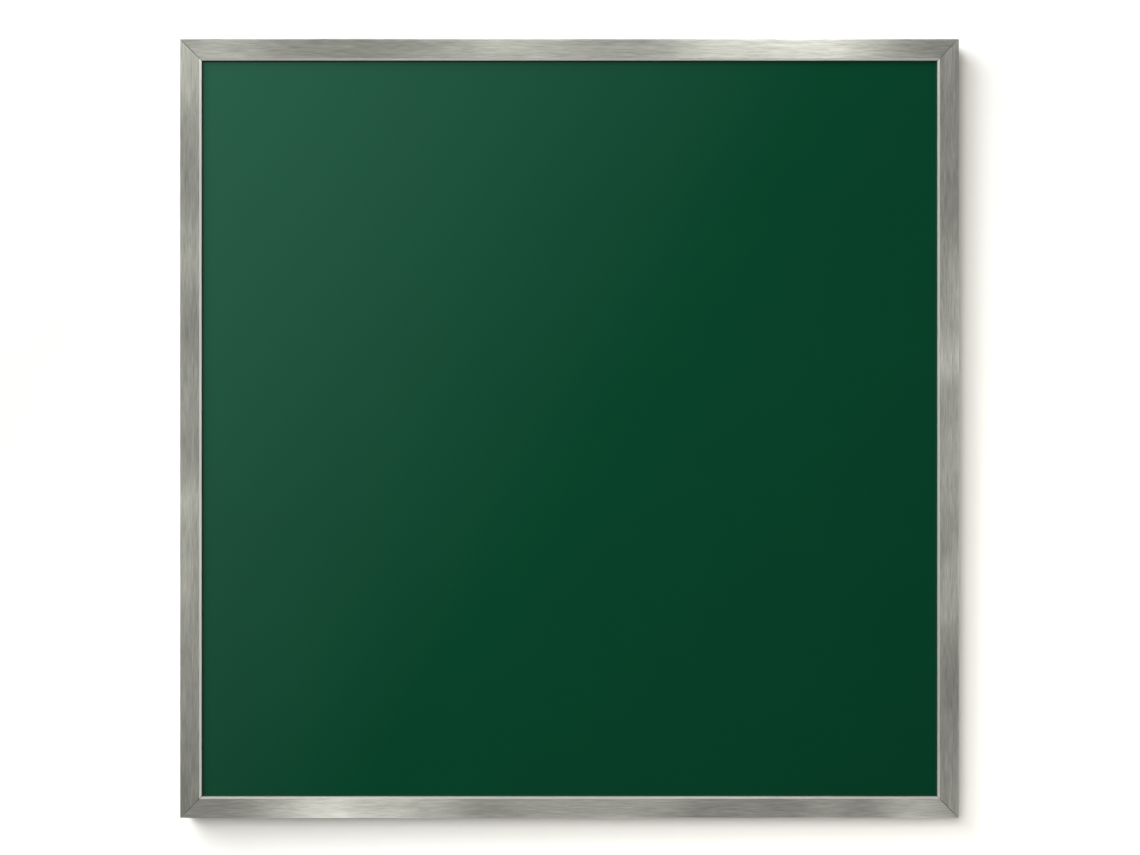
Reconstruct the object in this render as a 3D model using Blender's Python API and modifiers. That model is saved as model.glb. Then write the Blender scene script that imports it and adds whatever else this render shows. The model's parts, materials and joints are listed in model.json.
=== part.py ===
"""Magnetic glass board in a mitred aluminium frame, hung on a wall.

Sizes are in metres. X runs to the right, Z up, and the board faces -Y. The origin is the board's
centre on the wall plane, where the four bumpers rest.

Depths are counted back from the front face of the frame, and widths inwards from its outer side.
Each side and each corner of the frame has an empty with the axes of that count: its x runs
inwards, its y runs back, and its z runs along the side.
"""

import math

import bmesh
import bpy
from mathutils import Matrix, Vector

# Overall size
BOARD_WIDTH = 0.600
BOARD_HEIGHT = 0.600

# Clearances
FIT_GAP = 0.0003
PANE_CLEARANCE = 0.0010
CUT_OVERRUN = 0.0010
WELD_DISTANCE = 0.000003

# Rail section
FACE_WIDTH = 0.0162
FACE_WALL = 0.0016
SIDE_WALL = 0.0014
LIP_WIDTH = 0.0040
LIP_DEPTH = 0.0030
SIGHT_CHAMFER_WIDTH = 0.0015
SIGHT_CHAMFER_DEPTH = 0.0010
OUTER_ARRIS = 0.0004
CHANNEL_WIDTH = 0.0094
CHANNEL_MOUTH = 0.0050
CHANNEL_WALL = 0.0012

# Glass, and what lies before and behind it
GASKET_WIDTH = 0.0034
GASKET_THICKNESS = 0.0006
GLASS_THICKNESS = 0.0040
GLASS_ARRIS = 0.0005
GLASS_CORNER_RADIUS = 0.0020
STEEL_THICKNESS = 0.0006
BACKING_THICKNESS = 0.0030

# Leaf springs between the backing board and the rails
SPRING_LENGTH = 0.060
SPRING_WIDTH = 0.0080
SPRING_THICKNESS = 0.0004
SPRING_BOW = 0.0012
SPRING_SPACING = 0.300

# Corner keys, their shims and their set screws
KEY_ARM = 0.0320
KEY_THICKNESS = 0.0016
KEY_CORNER_RADIUS = 0.0012
SHIM_ARM = 0.0290
SHIM_THICKNESS = 0.0005
SCREW_DIAMETER = 0.0040
SCREW_LENGTH = 0.0040
SCREW_CHAMFER = 0.0004
SCREW_SLOT_WIDTH = 0.0007
SCREW_SLOT_DEPTH = 0.0012
SCREW_FROM_KEY_END = 0.0100

# Hangers that slide in the top rail
HANGER_SPACING = 0.360
HANGER_LENGTH = 0.0460
HANGER_SHEET = 0.0012
HANGER_BEND = 0.0009
HANGER_CORNER_RADIUS = 0.0040
HANGER_RIM = 0.0040
TAB_WIDTH = 0.0070
TAB_SPACING = 0.0300
TAB_RELIEF = 0.0004
KEYHOLE_ENTRY = 0.0090
KEYHOLE_SLOT = 0.0045
KEYHOLE_TRAVEL = 0.0075
KEYHOLE_SEAT_BELOW_CHANNEL = 0.0030

# Wall bumpers
BUMPER_DIAMETER = 0.0100
BUMPER_FACE_DIAMETER = 0.0080
BUMPER_THICKNESS = 0.0025
BUMPER_SHOULDER = 0.0012
BUMPER_ROUND = 0.0005
BUMPER_FROM_END = 0.0500

# Depths, each piece one gap behind the last
GASKET_FRONT = LIP_DEPTH + FIT_GAP
GLASS_FRONT = GASKET_FRONT + GASKET_THICKNESS + FIT_GAP
STEEL_FRONT = GLASS_FRONT + GLASS_THICKNESS + FIT_GAP
BACKING_FRONT = STEEL_FRONT + STEEL_THICKNESS + FIT_GAP
SPRING_FRONT = BACKING_FRONT + BACKING_THICKNESS + FIT_GAP
FLOOR_FRONT = SPRING_FRONT + SPRING_BOW + SPRING_THICKNESS + FIT_GAP
CHANNEL_FRONT = FLOOR_FRONT + CHANNEL_WALL
SHIM_FRONT = CHANNEL_FRONT + FIT_GAP
KEY_FRONT = SHIM_FRONT + SHIM_THICKNESS + FIT_GAP
MOUTH_FRONT = KEY_FRONT + KEY_THICKNESS + FIT_GAP
FRAME_DEPTH = MOUTH_FRONT + CHANNEL_WALL
BUMPER_FRONT = FRAME_DEPTH + FIT_GAP
WALL_DEPTH = BUMPER_FRONT + BUMPER_THICKNESS

# Widths across the rail
CHANNEL_INNER = SIDE_WALL + CHANNEL_WIDTH
CHANNEL_BACK = CHANNEL_INNER + CHANNEL_WALL
CHANNEL_MIDDLE = SIDE_WALL + CHANNEL_WIDTH / 2
MOUTH_OUTER = CHANNEL_MIDDLE - CHANNEL_MOUTH / 2
MOUTH_INNER = CHANNEL_MIDDLE + CHANNEL_MOUTH / 2
PANE_EDGE = SIDE_WALL + PANE_CLEARANCE
KEY_OUTER = SIDE_WALL + FIT_GAP
KEY_INNER = CHANNEL_INNER - FIT_GAP

# Hanger sheet, counted to the middle of its thickness
CLAW_DEPTH = MOUTH_FRONT - FIT_GAP - HANGER_SHEET / 2
PLATE_DEPTH = FRAME_DEPTH + FIT_GAP + HANGER_SHEET / 2
OUTER_RISER = MOUTH_OUTER + FIT_GAP + HANGER_SHEET / 2
INNER_RISER = MOUTH_INNER - FIT_GAP - HANGER_SHEET / 2
KEYHOLE_SEAT = CHANNEL_BACK + KEYHOLE_SEAT_BELOW_CHANNEL
KEYHOLE_CENTRE = KEYHOLE_SEAT + KEYHOLE_TRAVEL
PLATE_END = KEYHOLE_CENTRE + KEYHOLE_ENTRY / 2 + HANGER_RIM

# Steps of the curved outlines
CORNER_STEPS = 4
HOLE_STEPS = 24
TURN_STEPS = 32
BEND_STEPS = 4
BOW_STEPS = 16

# Turns about the frame's own axes
FACING_BACK = (math.radians(90), 0, 0)
TURNED_BACK = (math.radians(-90), 0, 0)
ALONG_SIDE = (0, math.radians(-90), 0)
SMOOTH_ANGLE = math.radians(28)


def clear_scene():
    for thing in list(bpy.data.objects):
        bpy.data.objects.remove(thing)


def new_collection(name):
    collection = bpy.data.collections.new(name)
    bpy.context.scene.collection.children.link(collection)
    return collection


def new_material(name, colour, roughness, metallic):
    material = bpy.data.materials.new(name)
    material.use_nodes = True
    shader = material.node_tree.nodes["Principled BSDF"]
    shader.inputs["Base Color"].default_value = (*colour, 1)
    shader.inputs["Roughness"].default_value = roughness
    shader.inputs["Metallic"].default_value = metallic
    return material


def new_empty(name, collection, parent, location, turn):
    """A frame of axes, turned about the depth axis."""
    empty = bpy.data.objects.new(name, None)
    empty.parent = parent
    empty.location = location
    empty.rotation_euler = (0, turn, 0)
    collection.objects.link(empty)
    return empty


def new_piece(name, mesh, material, collection, parent, location, rotation=(0, 0, 0)):
    """One sub-part: an object with its own copy of a mesh, so that it can have its own material."""
    own_mesh = mesh.copy()
    own_mesh.name = name
    own_mesh.materials.clear()
    own_mesh.materials.append(material)
    own_mesh.shade_smooth()
    own_mesh.set_sharp_from_angle(angle=SMOOTH_ANGLE)
    piece = bpy.data.objects.new(name, own_mesh)
    piece.parent = parent
    piece.location = location
    piece.rotation_euler = rotation
    collection.objects.link(piece)
    return piece


def welded(mesh):
    """The mesh with its loose seams joined and its faces turned out."""
    shape = bmesh.new()
    shape.from_mesh(mesh)
    bmesh.ops.remove_doubles(shape, verts=shape.verts, dist=WELD_DISTANCE)
    bmesh.ops.recalc_face_normals(shape, faces=shape.faces)
    shape.to_mesh(mesh)
    shape.free()
    return mesh


def evaluated_mesh(thing):
    """The shape that an object's curve or modifiers give, as a mesh of its own."""
    bpy.context.view_layer.update()
    graph = bpy.context.evaluated_depsgraph_get()
    return welded(bpy.data.meshes.new_from_object(thing.evaluated_get(graph)))


def bench_object(name, data, bench, rotation=(0, 0, 0), location=(0, 0, 0)):
    """A tool or a half-made piece on the bench: a wire shape that isn't part of the board."""
    thing = bpy.data.objects.new(name, data)
    thing.location = location
    thing.rotation_euler = rotation
    thing.display_type = "WIRE"
    thing.hide_render = True
    bench.objects.link(thing)
    return thing


def extruded_mesh(name, outlines, thickness, bench):
    """Flat outlines, the first one the rim and the rest holes, given a thickness about their plane."""
    curve = bpy.data.curves.new(name, "CURVE")
    curve.dimensions = "2D"
    curve.fill_mode = "BOTH"
    curve.extrude = thickness / 2
    for outline in outlines:
        spline = curve.splines.new("POLY")
        spline.points.add(len(outline) - 1)
        spline.use_cyclic_u = True
        for point, (x, y) in zip(spline.points, outline):
            point.co = (x, y, 0, 1)
    drawing = bench_object(name, curve, bench)
    mesh = evaluated_mesh(drawing)
    bpy.data.objects.remove(drawing)
    return mesh


def box_mesh(name, size):
    shape = bmesh.new()
    bmesh.ops.create_cube(shape, size=1, matrix=Matrix.Diagonal((*size, 1)))
    mesh = bpy.data.meshes.new(name)
    shape.to_mesh(mesh)
    shape.free()
    return mesh


def turned_mesh(name, profile, bench):
    """A profile in x and z, from the top down its outer side, turned about z."""
    mesh = bpy.data.meshes.new(name)
    edges = [(index, index + 1) for index in range(len(profile) - 1)]
    mesh.from_pydata([(x, 0, z) for x, z in profile], edges, [])
    blank = bench_object(name, mesh, bench)
    screw = blank.modifiers.new("turn", "SCREW")
    screw.steps = TURN_STEPS
    screw.render_steps = TURN_STEPS
    screw.use_merge_vertices = True
    screw.merge_threshold = WELD_DISTANCE
    turned = evaluated_mesh(blank)
    bpy.data.objects.remove(blank)
    return turned


def arc_points(centre, radius, start, end, steps):
    """Points on an arc from one angle to another, both ends included."""
    angles = [start + (end - start) * step / steps for step in range(steps + 1)]
    return [(centre[0] + radius * math.cos(a), centre[1] + radius * math.sin(a)) for a in angles]


def circle_points(centre, radius):
    return arc_points(centre, radius, 0, math.tau, HOLE_STEPS)[:-1]


def corner_arc(before, corner, after, radius):
    """The arc that rounds one corner of an outline."""
    corner = Vector(corner)
    back = (Vector(before) - corner).normalized()
    ahead = (Vector(after) - corner).normalized()
    half_angle = back.angle(ahead) / 2
    centre = corner + (back + ahead).normalized() * radius / math.sin(half_angle)
    start = corner + back * radius / math.tan(half_angle) - centre
    turn = math.copysign(math.pi - 2 * half_angle, ahead.cross(back))
    arms = [Matrix.Rotation(turn * step / CORNER_STEPS, 2) @ start for step in range(CORNER_STEPS + 1)]
    return [tuple(centre + arm) for arm in arms]


def rounded_points(corners, radius):
    """A closed outline with all its corners rounded alike."""
    neighbours = zip(corners[-1:] + corners[:-1], corners, corners[1:] + corners[:1])
    return [point for before, corner, after in neighbours for point in corner_arc(before, corner, after, radius)]


def rail_section():
    """The rail's outline: face, sight edge, lip, glazing rebate, and the channel behind it."""
    return [
        (OUTER_ARRIS, 0),
        (FACE_WIDTH - SIGHT_CHAMFER_WIDTH, 0),
        (FACE_WIDTH, SIGHT_CHAMFER_DEPTH),
        (FACE_WIDTH, LIP_DEPTH),
        (FACE_WIDTH - LIP_WIDTH, LIP_DEPTH),
        (FACE_WIDTH - LIP_WIDTH, FACE_WALL),
        (SIDE_WALL, FACE_WALL),
        (SIDE_WALL, FLOOR_FRONT),
        (CHANNEL_BACK, FLOOR_FRONT),
        (CHANNEL_BACK, FRAME_DEPTH),
        (MOUTH_INNER, FRAME_DEPTH),
        (MOUTH_INNER, MOUTH_FRONT),
        (CHANNEL_INNER, MOUTH_FRONT),
        (CHANNEL_INNER, CHANNEL_FRONT),
        (SIDE_WALL, CHANNEL_FRONT),
        (SIDE_WALL, MOUTH_FRONT),
        (MOUTH_OUTER, MOUTH_FRONT),
        (MOUTH_OUTER, FRAME_DEPTH),
        (OUTER_ARRIS, FRAME_DEPTH),
        (0, FRAME_DEPTH - OUTER_ARRIS),
        (0, OUTER_ARRIS),
    ]


def gasket_section():
    """A flat strip behind the lip, one gap inside the sight edge."""
    inner = FACE_WIDTH - FIT_GAP
    outer = inner - GASKET_WIDTH
    back = GASKET_FRONT + GASKET_THICKNESS
    return [(outer, GASKET_FRONT), (inner, GASKET_FRONT), (inner, back), (outer, back)]


def mitred_bar(name, section, side_length, bench):
    """A section drawn along a side, its ends then moved back to the mitre at each width."""
    mesh = extruded_mesh(name, [section], side_length, bench)
    joint = FIT_GAP / math.sqrt(2)
    for vertex in mesh.vertices:
        half = side_length / 2 - vertex.co.x - joint
        vertex.co.z = math.copysign(half, vertex.co.z)
    return mesh


def glass_mesh(bench):
    """A toughened pane with eased corners and seamed edges."""
    x = BOARD_WIDTH / 2 - PANE_EDGE
    z = BOARD_HEIGHT / 2 - PANE_EDGE
    corners = [(-x, -z), (x, -z), (x, z), (-x, z)]
    outline = rounded_points(corners, GLASS_CORNER_RADIUS)
    flat = extruded_mesh("pane", [outline], GLASS_THICKNESS, bench)
    blank = bench_object("pane", flat, bench)
    seam = blank.modifiers.new("seam", "BEVEL")
    seam.width = GLASS_ARRIS
    seam.segments = 1
    seam.limit_method = "ANGLE"
    seam.angle_limit = math.radians(60)
    pane = evaluated_mesh(blank)
    bpy.data.objects.remove(blank)
    return pane


def sheet_mesh(name, thickness):
    """A plain sheet of the pane's size."""
    return box_mesh(name, (BOARD_WIDTH - 2 * PANE_EDGE, thickness, BOARD_HEIGHT - 2 * PANE_EDGE))


def spring_mesh(bench):
    """A bowed strip whose middle rises in a smooth wave between two flat feet."""
    front = []
    back = []
    for step in range(BOW_STEPS + 1):
        share = step / BOW_STEPS
        place = SPRING_LENGTH * (share - 1 / 2)
        rise = SPRING_BOW * (1 - math.cos(math.tau * share)) / 2
        front.append((place, rise))
        back.append((place, rise + SPRING_THICKNESS))
    return extruded_mesh("spring", [front + back[::-1]], SPRING_WIDTH, bench)


def corner_plate(name, arm, thickness, hole_centres, bench):
    """An L-shaped plate that lies in the channels of two rails."""
    end = KEY_OUTER + arm
    corners = [
        (KEY_OUTER, KEY_OUTER),
        (end, KEY_OUTER),
        (end, KEY_INNER),
        (KEY_INNER, KEY_INNER),
        (KEY_INNER, end),
        (KEY_OUTER, end),
    ]
    holes = [circle_points(centre, SCREW_DIAMETER / 2 + FIT_GAP) for centre in hole_centres]
    return extruded_mesh(name, [rounded_points(corners, KEY_CORNER_RADIUS), *holes], thickness, bench)


def screw_places():
    """The set screws' places from the corner, one on each arm of the key."""
    along = KEY_OUTER + KEY_ARM - SCREW_FROM_KEY_END
    return [(along, CHANNEL_MIDDLE), (CHANNEL_MIDDLE, along)]


def screw_mesh(bench):
    """A slotted set screw with a chamfer at each end, its slot facing the wall."""
    radius = SCREW_DIAMETER / 2
    inner = radius - SCREW_CHAMFER
    profile = [
        (0, SCREW_LENGTH),
        (inner, SCREW_LENGTH),
        (radius, SCREW_LENGTH - SCREW_CHAMFER),
        (radius, SCREW_CHAMFER),
        (inner, 0),
        (0, 0),
    ]
    blank = bench_object("set_screw", turned_mesh("set_screw", profile, bench), bench)
    reach = SCREW_DIAMETER + CUT_OVERRUN
    cutter_mesh = box_mesh("slot_cutter", (reach, SCREW_SLOT_WIDTH, SCREW_SLOT_DEPTH + CUT_OVERRUN))
    middle = SCREW_LENGTH + (CUT_OVERRUN - SCREW_SLOT_DEPTH) / 2
    cutter = bench_object("slot_cutter", cutter_mesh, bench, location=(0, 0, middle))
    cut(blank, cutter, "DIFFERENCE")
    screw = evaluated_mesh(blank)
    bpy.data.objects.remove(blank)
    return screw


def cut(piece, tool, operation):
    boolean = piece.modifiers.new(tool.name, "BOOLEAN")
    boolean.operation = operation
    boolean.solver = "EXACT"
    boolean.object = tool


def folded_sheet(name, path, end_corners, width, bench):
    """Sheet metal bent along a path of widths and depths, its last leg ending in the given corners.

    The path's sheet is an open surface with a bend at each turn, thickened evenly to both sides.
    """
    shape = bmesh.new()
    rows = [[shape.verts.new((x, y, side * width / 2)) for side in (-1, 1)] for x, y in path]
    for first, second in zip(rows, rows[1:]):
        shape.faces.new([first[0], first[1], second[1], second[0]])
    depth = path[-1][1]
    end = [shape.verts.new((x, depth, z)) for x, z in end_corners]
    shape.faces.new([rows[-1][0], rows[-1][1], *end])
    mesh = bpy.data.meshes.new(name)
    shape.to_mesh(mesh)
    shape.free()
    sheet = bench_object(name, welded(mesh), bench)
    bend = sheet.modifiers.new("bend", "BEVEL")
    bend.width = HANGER_BEND
    bend.segments = BEND_STEPS
    bend.limit_method = "ANGLE"
    thicken = sheet.modifiers.new("thicken", "SOLIDIFY")
    thicken.thickness = HANGER_SHEET
    thicken.offset = 0
    thicken.use_even_offset = True
    solid = evaluated_mesh(sheet)
    bpy.data.objects.remove(sheet)
    return solid


def plate_end_corners():
    """The free end of the hanger's plate, rounded at both corners, from +z round to -z."""
    half = HANGER_LENGTH / 2
    upper = corner_arc((OUTER_RISER, half), (PLATE_END, half), (PLATE_END, -half), HANGER_CORNER_RADIUS)
    lower = corner_arc((PLATE_END, half), (PLATE_END, -half), (OUTER_RISER, -half), HANGER_CORNER_RADIUS)
    return upper + lower


def hanger_tab(bench):
    """A tab lanced from the plate: it bends through the channel's mouth and under its inner lip."""
    path = [(CHANNEL_MIDDLE, PLATE_DEPTH), (INNER_RISER, PLATE_DEPTH), (INNER_RISER, CLAW_DEPTH)]
    end_corners = [(KEY_INNER, TAB_WIDTH / 2), (KEY_INNER, -TAB_WIDTH / 2)]
    return folded_sheet("hanger_tab", path, end_corners, TAB_WIDTH, bench)


def window_points(tab_place):
    """The window that a lanced tab leaves: as long as the tab was before its two bends."""
    straight = PLATE_DEPTH - CLAW_DEPTH + KEY_INNER - INNER_RISER - 3 * HANGER_BEND
    start = INNER_RISER - HANGER_BEND
    end = start + straight + math.pi * HANGER_BEND
    half = TAB_WIDTH / 2 + TAB_RELIEF
    return [
        (start, tab_place - half),
        (end, tab_place - half),
        (end, tab_place + half),
        (start, tab_place + half),
    ]


def keyhole_points():
    """A round entry for a screw's head, and above it a slot that ends in the screw's seat."""
    entry = KEYHOLE_ENTRY / 2
    slot = KEYHOLE_SLOT / 2
    opening = math.asin(slot / entry)
    entry_arc = arc_points((KEYHOLE_CENTRE, 0), entry, opening - math.pi, math.pi - opening, HOLE_STEPS)
    seat_arc = arc_points((KEYHOLE_SEAT, 0), slot, math.pi / 2, 3 * math.pi / 2, HOLE_STEPS // 2)
    return entry_arc + seat_arc


def hanger_mesh(bench):
    """A folded hanger: a claw under the outer lip, a plate with a keyhole, and two lanced tabs.

    It is made at its place in the rail and then moved so that its origin lies on its slide axis.
    """
    path = [(KEY_OUTER, CLAW_DEPTH), (OUTER_RISER, CLAW_DEPTH), (OUTER_RISER, PLATE_DEPTH)]
    plate = folded_sheet("hanger", path, plate_end_corners(), HANGER_LENGTH, bench)
    blank = bench_object("hanger", plate, bench)
    depth = HANGER_SHEET + 2 * CUT_OVERRUN
    tab_places = (-TAB_SPACING / 2, TAB_SPACING / 2)
    for outline in (keyhole_points(), *map(window_points, tab_places)):
        tool_mesh = extruded_mesh("hanger_cutter", [outline], depth, bench)
        tool = bench_object("hanger_cutter", tool_mesh, bench, FACING_BACK, (0, PLATE_DEPTH, 0))
        cut(blank, tool, "DIFFERENCE")
    for place in tab_places:
        cut(blank, bench_object("hanger_tab", hanger_tab(bench), bench, location=(0, 0, place)), "UNION")
    hanger = evaluated_mesh(blank)
    bpy.data.objects.remove(blank)
    hanger.transform(Matrix.Translation((-CHANNEL_MIDDLE, -CLAW_DEPTH, 0)))
    return hanger


def bumper_mesh(bench):
    """A moulded foot: a straight base, a tapered shoulder and a flat face with a rounded rim."""
    rim = (BUMPER_FACE_DIAMETER / 2 - BUMPER_ROUND, BUMPER_THICKNESS - BUMPER_ROUND)
    profile = [
        (0, BUMPER_THICKNESS),
        *reversed(arc_points(rim, BUMPER_ROUND, 0, math.pi / 2, CORNER_STEPS)),
        (BUMPER_DIAMETER / 2, BUMPER_SHOULDER),
        (BUMPER_DIAMETER / 2, 0),
        (0, 0),
    ]
    return turned_mesh("bumper", profile, bench)


def side_frames(front, parts):
    """An empty at the middle of each side, with the side's length."""
    x = BOARD_WIDTH / 2
    z = BOARD_HEIGHT / 2
    places = {
        "left": ((-x, 0, 0), BOARD_HEIGHT),
        "top": ((0, 0, z), BOARD_WIDTH),
        "right": ((x, 0, 0), BOARD_HEIGHT),
        "bottom": ((0, 0, -z), BOARD_WIDTH),
    }
    return {
        side: (new_empty(f"{side}_side", parts, front, place, math.radians(90 * quarter)), length)
        for quarter, (side, (place, length)) in enumerate(places.items())
    }


def corner_frames(front, parts):
    """An empty at each outer corner of the front face."""
    x = BOARD_WIDTH / 2
    z = BOARD_HEIGHT / 2
    places = {
        "bottom_left": (-x, 0, -z),
        "top_left": (-x, 0, z),
        "top_right": (x, 0, z),
        "bottom_right": (x, 0, -z),
    }
    return {
        corner: new_empty(f"{corner}_corner", parts, front, place, math.radians(90 * quarter))
        for quarter, (corner, place) in enumerate(places.items())
    }


def make_frame(sides, parts, bench):
    """The four rails and the gasket strip behind each one's lip."""
    metal = new_material("brushed_aluminium", (0.55, 0.55, 0.52), 0.34, 1.0)
    foam = new_material("black_gasket", (0.03, 0.03, 0.03), 0.8, 0.0)
    for side, (empty, length) in sides.items():
        rail = mitred_bar("rail", rail_section(), length, bench)
        gasket = mitred_bar("gasket", gasket_section(), length, bench)
        new_piece(f"rail_{side}", rail, metal, parts, empty, (0, 0, 0))
        new_piece(f"gasket_{side}", gasket, foam, parts, empty, (0, 0, 0))


def make_pane_stack(front, parts, bench):
    """The enamelled glass, the steel sheet that magnets hold to, and the backing board."""
    glass = new_material("green_glass", (0.004, 0.053, 0.026), 0.06, 0.0)
    steel = new_material("steel_sheet", (0.42, 0.43, 0.44), 0.4, 1.0)
    board = new_material("hardboard", (0.23, 0.13, 0.07), 0.75, 0.0)
    glass_place = (0, GLASS_FRONT + GLASS_THICKNESS / 2, 0)
    steel_place = (0, STEEL_FRONT + STEEL_THICKNESS / 2, 0)
    backing_place = (0, BACKING_FRONT + BACKING_THICKNESS / 2, 0)
    new_piece("glass_pane", glass_mesh(bench), glass, parts, front, glass_place, FACING_BACK)
    new_piece("steel_sheet", sheet_mesh("steel", STEEL_THICKNESS), steel, parts, front, steel_place)
    new_piece("backing_board", sheet_mesh("backing", BACKING_THICKNESS), board, parts, front, backing_place)


def make_springs(sides, parts, bench):
    """Two leaf springs a side, which push the backing board forwards from the channel's floor."""
    metal = new_material("spring_steel", (0.30, 0.31, 0.34), 0.35, 1.0)
    mesh = spring_mesh(bench)
    across = (SIDE_WALL + CHANNEL_BACK) / 2
    for side, (empty, _) in sides.items():
        for number, along in enumerate((-SPRING_SPACING / 2, SPRING_SPACING / 2), 1):
            place = (across, SPRING_FRONT, along)
            new_piece(f"leaf_spring_{side}_{number}", mesh, metal, parts, empty, place, ALONG_SIDE)


def make_corner_keys(corners, parts, bench):
    """At each corner an L-shaped key, the shim before it, and a set screw in each of its arms."""
    zinc = new_material("zinc_plate", (0.58, 0.58, 0.56), 0.32, 1.0)
    dark = new_material("screw_steel", (0.25, 0.25, 0.26), 0.38, 1.0)
    key = corner_plate("corner_key", KEY_ARM, KEY_THICKNESS, screw_places(), bench)
    shim = corner_plate("corner_shim", SHIM_ARM, SHIM_THICKNESS, [], bench)
    screw = screw_mesh(bench)
    for corner, empty in corners.items():
        key_place = (0, KEY_FRONT + KEY_THICKNESS / 2, 0)
        shim_place = (0, SHIM_FRONT + SHIM_THICKNESS / 2, 0)
        new_piece(f"corner_key_{corner}", key, zinc, parts, empty, key_place, FACING_BACK)
        new_piece(f"corner_shim_{corner}", shim, zinc, parts, empty, shim_place, FACING_BACK)
        for number, (across, along) in enumerate(screw_places(), 1):
            screw_place = (across, KEY_FRONT, along)
            new_piece(f"set_screw_{corner}_{number}", screw, dark, parts, empty, screw_place, TURNED_BACK)


def make_hangers(top_side, parts, bench):
    """Two hangers, each with its origin on the line along which it slides in the top rail."""
    zinc = new_material("hanger_zinc", (0.60, 0.59, 0.55), 0.3, 1.0)
    mesh = hanger_mesh(bench)
    for name, along in (("left", -HANGER_SPACING / 2), ("right", HANGER_SPACING / 2)):
        place = (CHANNEL_MIDDLE, CLAW_DEPTH, along)
        new_piece(f"hanger_{name}", mesh, zinc, parts, top_side, place)


def make_bumpers(sides, parts, bench):
    """A bumper on the back of each upright rail near both its ends."""
    rubber = new_material("bumper_rubber", (0.035, 0.035, 0.037), 0.7, 0.0)
    mesh = bumper_mesh(bench)
    away = BOARD_HEIGHT / 2 - BUMPER_FROM_END
    places = (("left", "bottom", -away), ("left", "top", away), ("right", "bottom", away), ("right", "top", -away))
    for side, end, along in places:
        place = (CHANNEL_MIDDLE, BUMPER_FRONT, along)
        new_piece(f"wall_bumper_{end}_{side}", mesh, rubber, parts, sides[side][0], place, TURNED_BACK)


def main():
    clear_scene()
    parts = new_collection("magnetic_glass_board")
    bench = new_collection("cutters")
    front = new_empty("front_face", parts, None, (0, -WALL_DEPTH, 0), 0)
    sides = side_frames(front, parts)
    corners = corner_frames(front, parts)
    make_frame(sides, parts, bench)
    make_pane_stack(front, parts, bench)
    make_springs(sides, parts, bench)
    make_corner_keys(corners, parts, bench)
    make_hangers(sides["top"][0], parts, bench)
    make_bumpers(sides, parts, bench)


main()
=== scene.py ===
"""Looks of the magnetic glass board: brushed frame, enamelled glass, and the hardware behind.

Sizes are in metres in the frame's own axes: X to the right, Z up, the board facing -Y with the
wall plane at Y = 0. A rail's section is drawn in two lengths: u runs inwards from the outer side of
the frame, and v runs back from its front face.
"""

import json
import math

import bmesh
import bpy
from mathutils import Matrix, Vector


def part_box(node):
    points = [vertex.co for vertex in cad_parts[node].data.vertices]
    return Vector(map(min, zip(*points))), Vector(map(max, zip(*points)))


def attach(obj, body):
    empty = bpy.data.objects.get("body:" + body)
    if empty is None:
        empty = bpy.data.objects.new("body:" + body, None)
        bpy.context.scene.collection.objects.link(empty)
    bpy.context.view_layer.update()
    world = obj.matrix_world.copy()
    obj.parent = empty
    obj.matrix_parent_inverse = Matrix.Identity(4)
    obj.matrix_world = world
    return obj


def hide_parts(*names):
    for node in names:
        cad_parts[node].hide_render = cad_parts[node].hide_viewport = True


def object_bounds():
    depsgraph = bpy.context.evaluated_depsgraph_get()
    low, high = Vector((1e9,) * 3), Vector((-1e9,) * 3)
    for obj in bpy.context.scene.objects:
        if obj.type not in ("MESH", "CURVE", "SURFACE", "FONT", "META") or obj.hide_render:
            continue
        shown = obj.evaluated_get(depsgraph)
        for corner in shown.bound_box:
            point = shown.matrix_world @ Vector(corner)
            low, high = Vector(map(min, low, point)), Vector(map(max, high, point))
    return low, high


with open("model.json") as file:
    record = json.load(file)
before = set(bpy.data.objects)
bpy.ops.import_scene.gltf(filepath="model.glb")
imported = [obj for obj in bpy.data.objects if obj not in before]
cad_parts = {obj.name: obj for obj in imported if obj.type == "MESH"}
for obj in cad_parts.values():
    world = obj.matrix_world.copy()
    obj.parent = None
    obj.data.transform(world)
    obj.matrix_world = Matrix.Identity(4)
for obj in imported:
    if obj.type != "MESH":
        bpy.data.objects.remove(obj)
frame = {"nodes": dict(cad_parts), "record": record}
cad_box = [list(corner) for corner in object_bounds()]

# Sizes read from the frame
BOARD_LOW, BOARD_HIGH = map(Vector, cad_box)
FRONT = BOARD_LOW.y
HALF_WIDTH = BOARD_HIGH.x
HALF_HEIGHT = BOARD_HIGH.z
RAIL_LOW, RAIL_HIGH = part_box("rail_top")
FACE_WIDTH = RAIL_HIGH.z - RAIL_LOW.z
FRAME_DEPTH = RAIL_HIGH.y - FRONT
GASKET_LOW, GASKET_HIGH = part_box("gasket_top")
GLASS_LOW, GLASS_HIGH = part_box("glass_pane")
GLASS_FRONT = GLASS_LOW.y - FRONT
SCREW_LOW, SCREW_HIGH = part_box("set_screw_top_left_1")
BUMPER_LOW, BUMPER_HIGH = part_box("wall_bumper_top_left")

# Rail section, inside its outer size
FACE_WALL = 0.0016
SIDE_WALL = 0.0014
LIP_WIDTH = 0.0040
LIP_DEPTH = 0.0030
SIGHT_CHAMFER_WIDTH = 0.0015
SIGHT_CHAMFER_DEPTH = 0.0010
OUTER_ARRIS = 0.00006
CHANNEL_WIDTH = 0.0094
CHANNEL_MOUTH = 0.0050
CHANNEL_WALL = 0.0012
FLOOR_FRONT = 0.0146
MITRE_GAP = 0.00034
EDGE_ROUND = 0.00014

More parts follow.
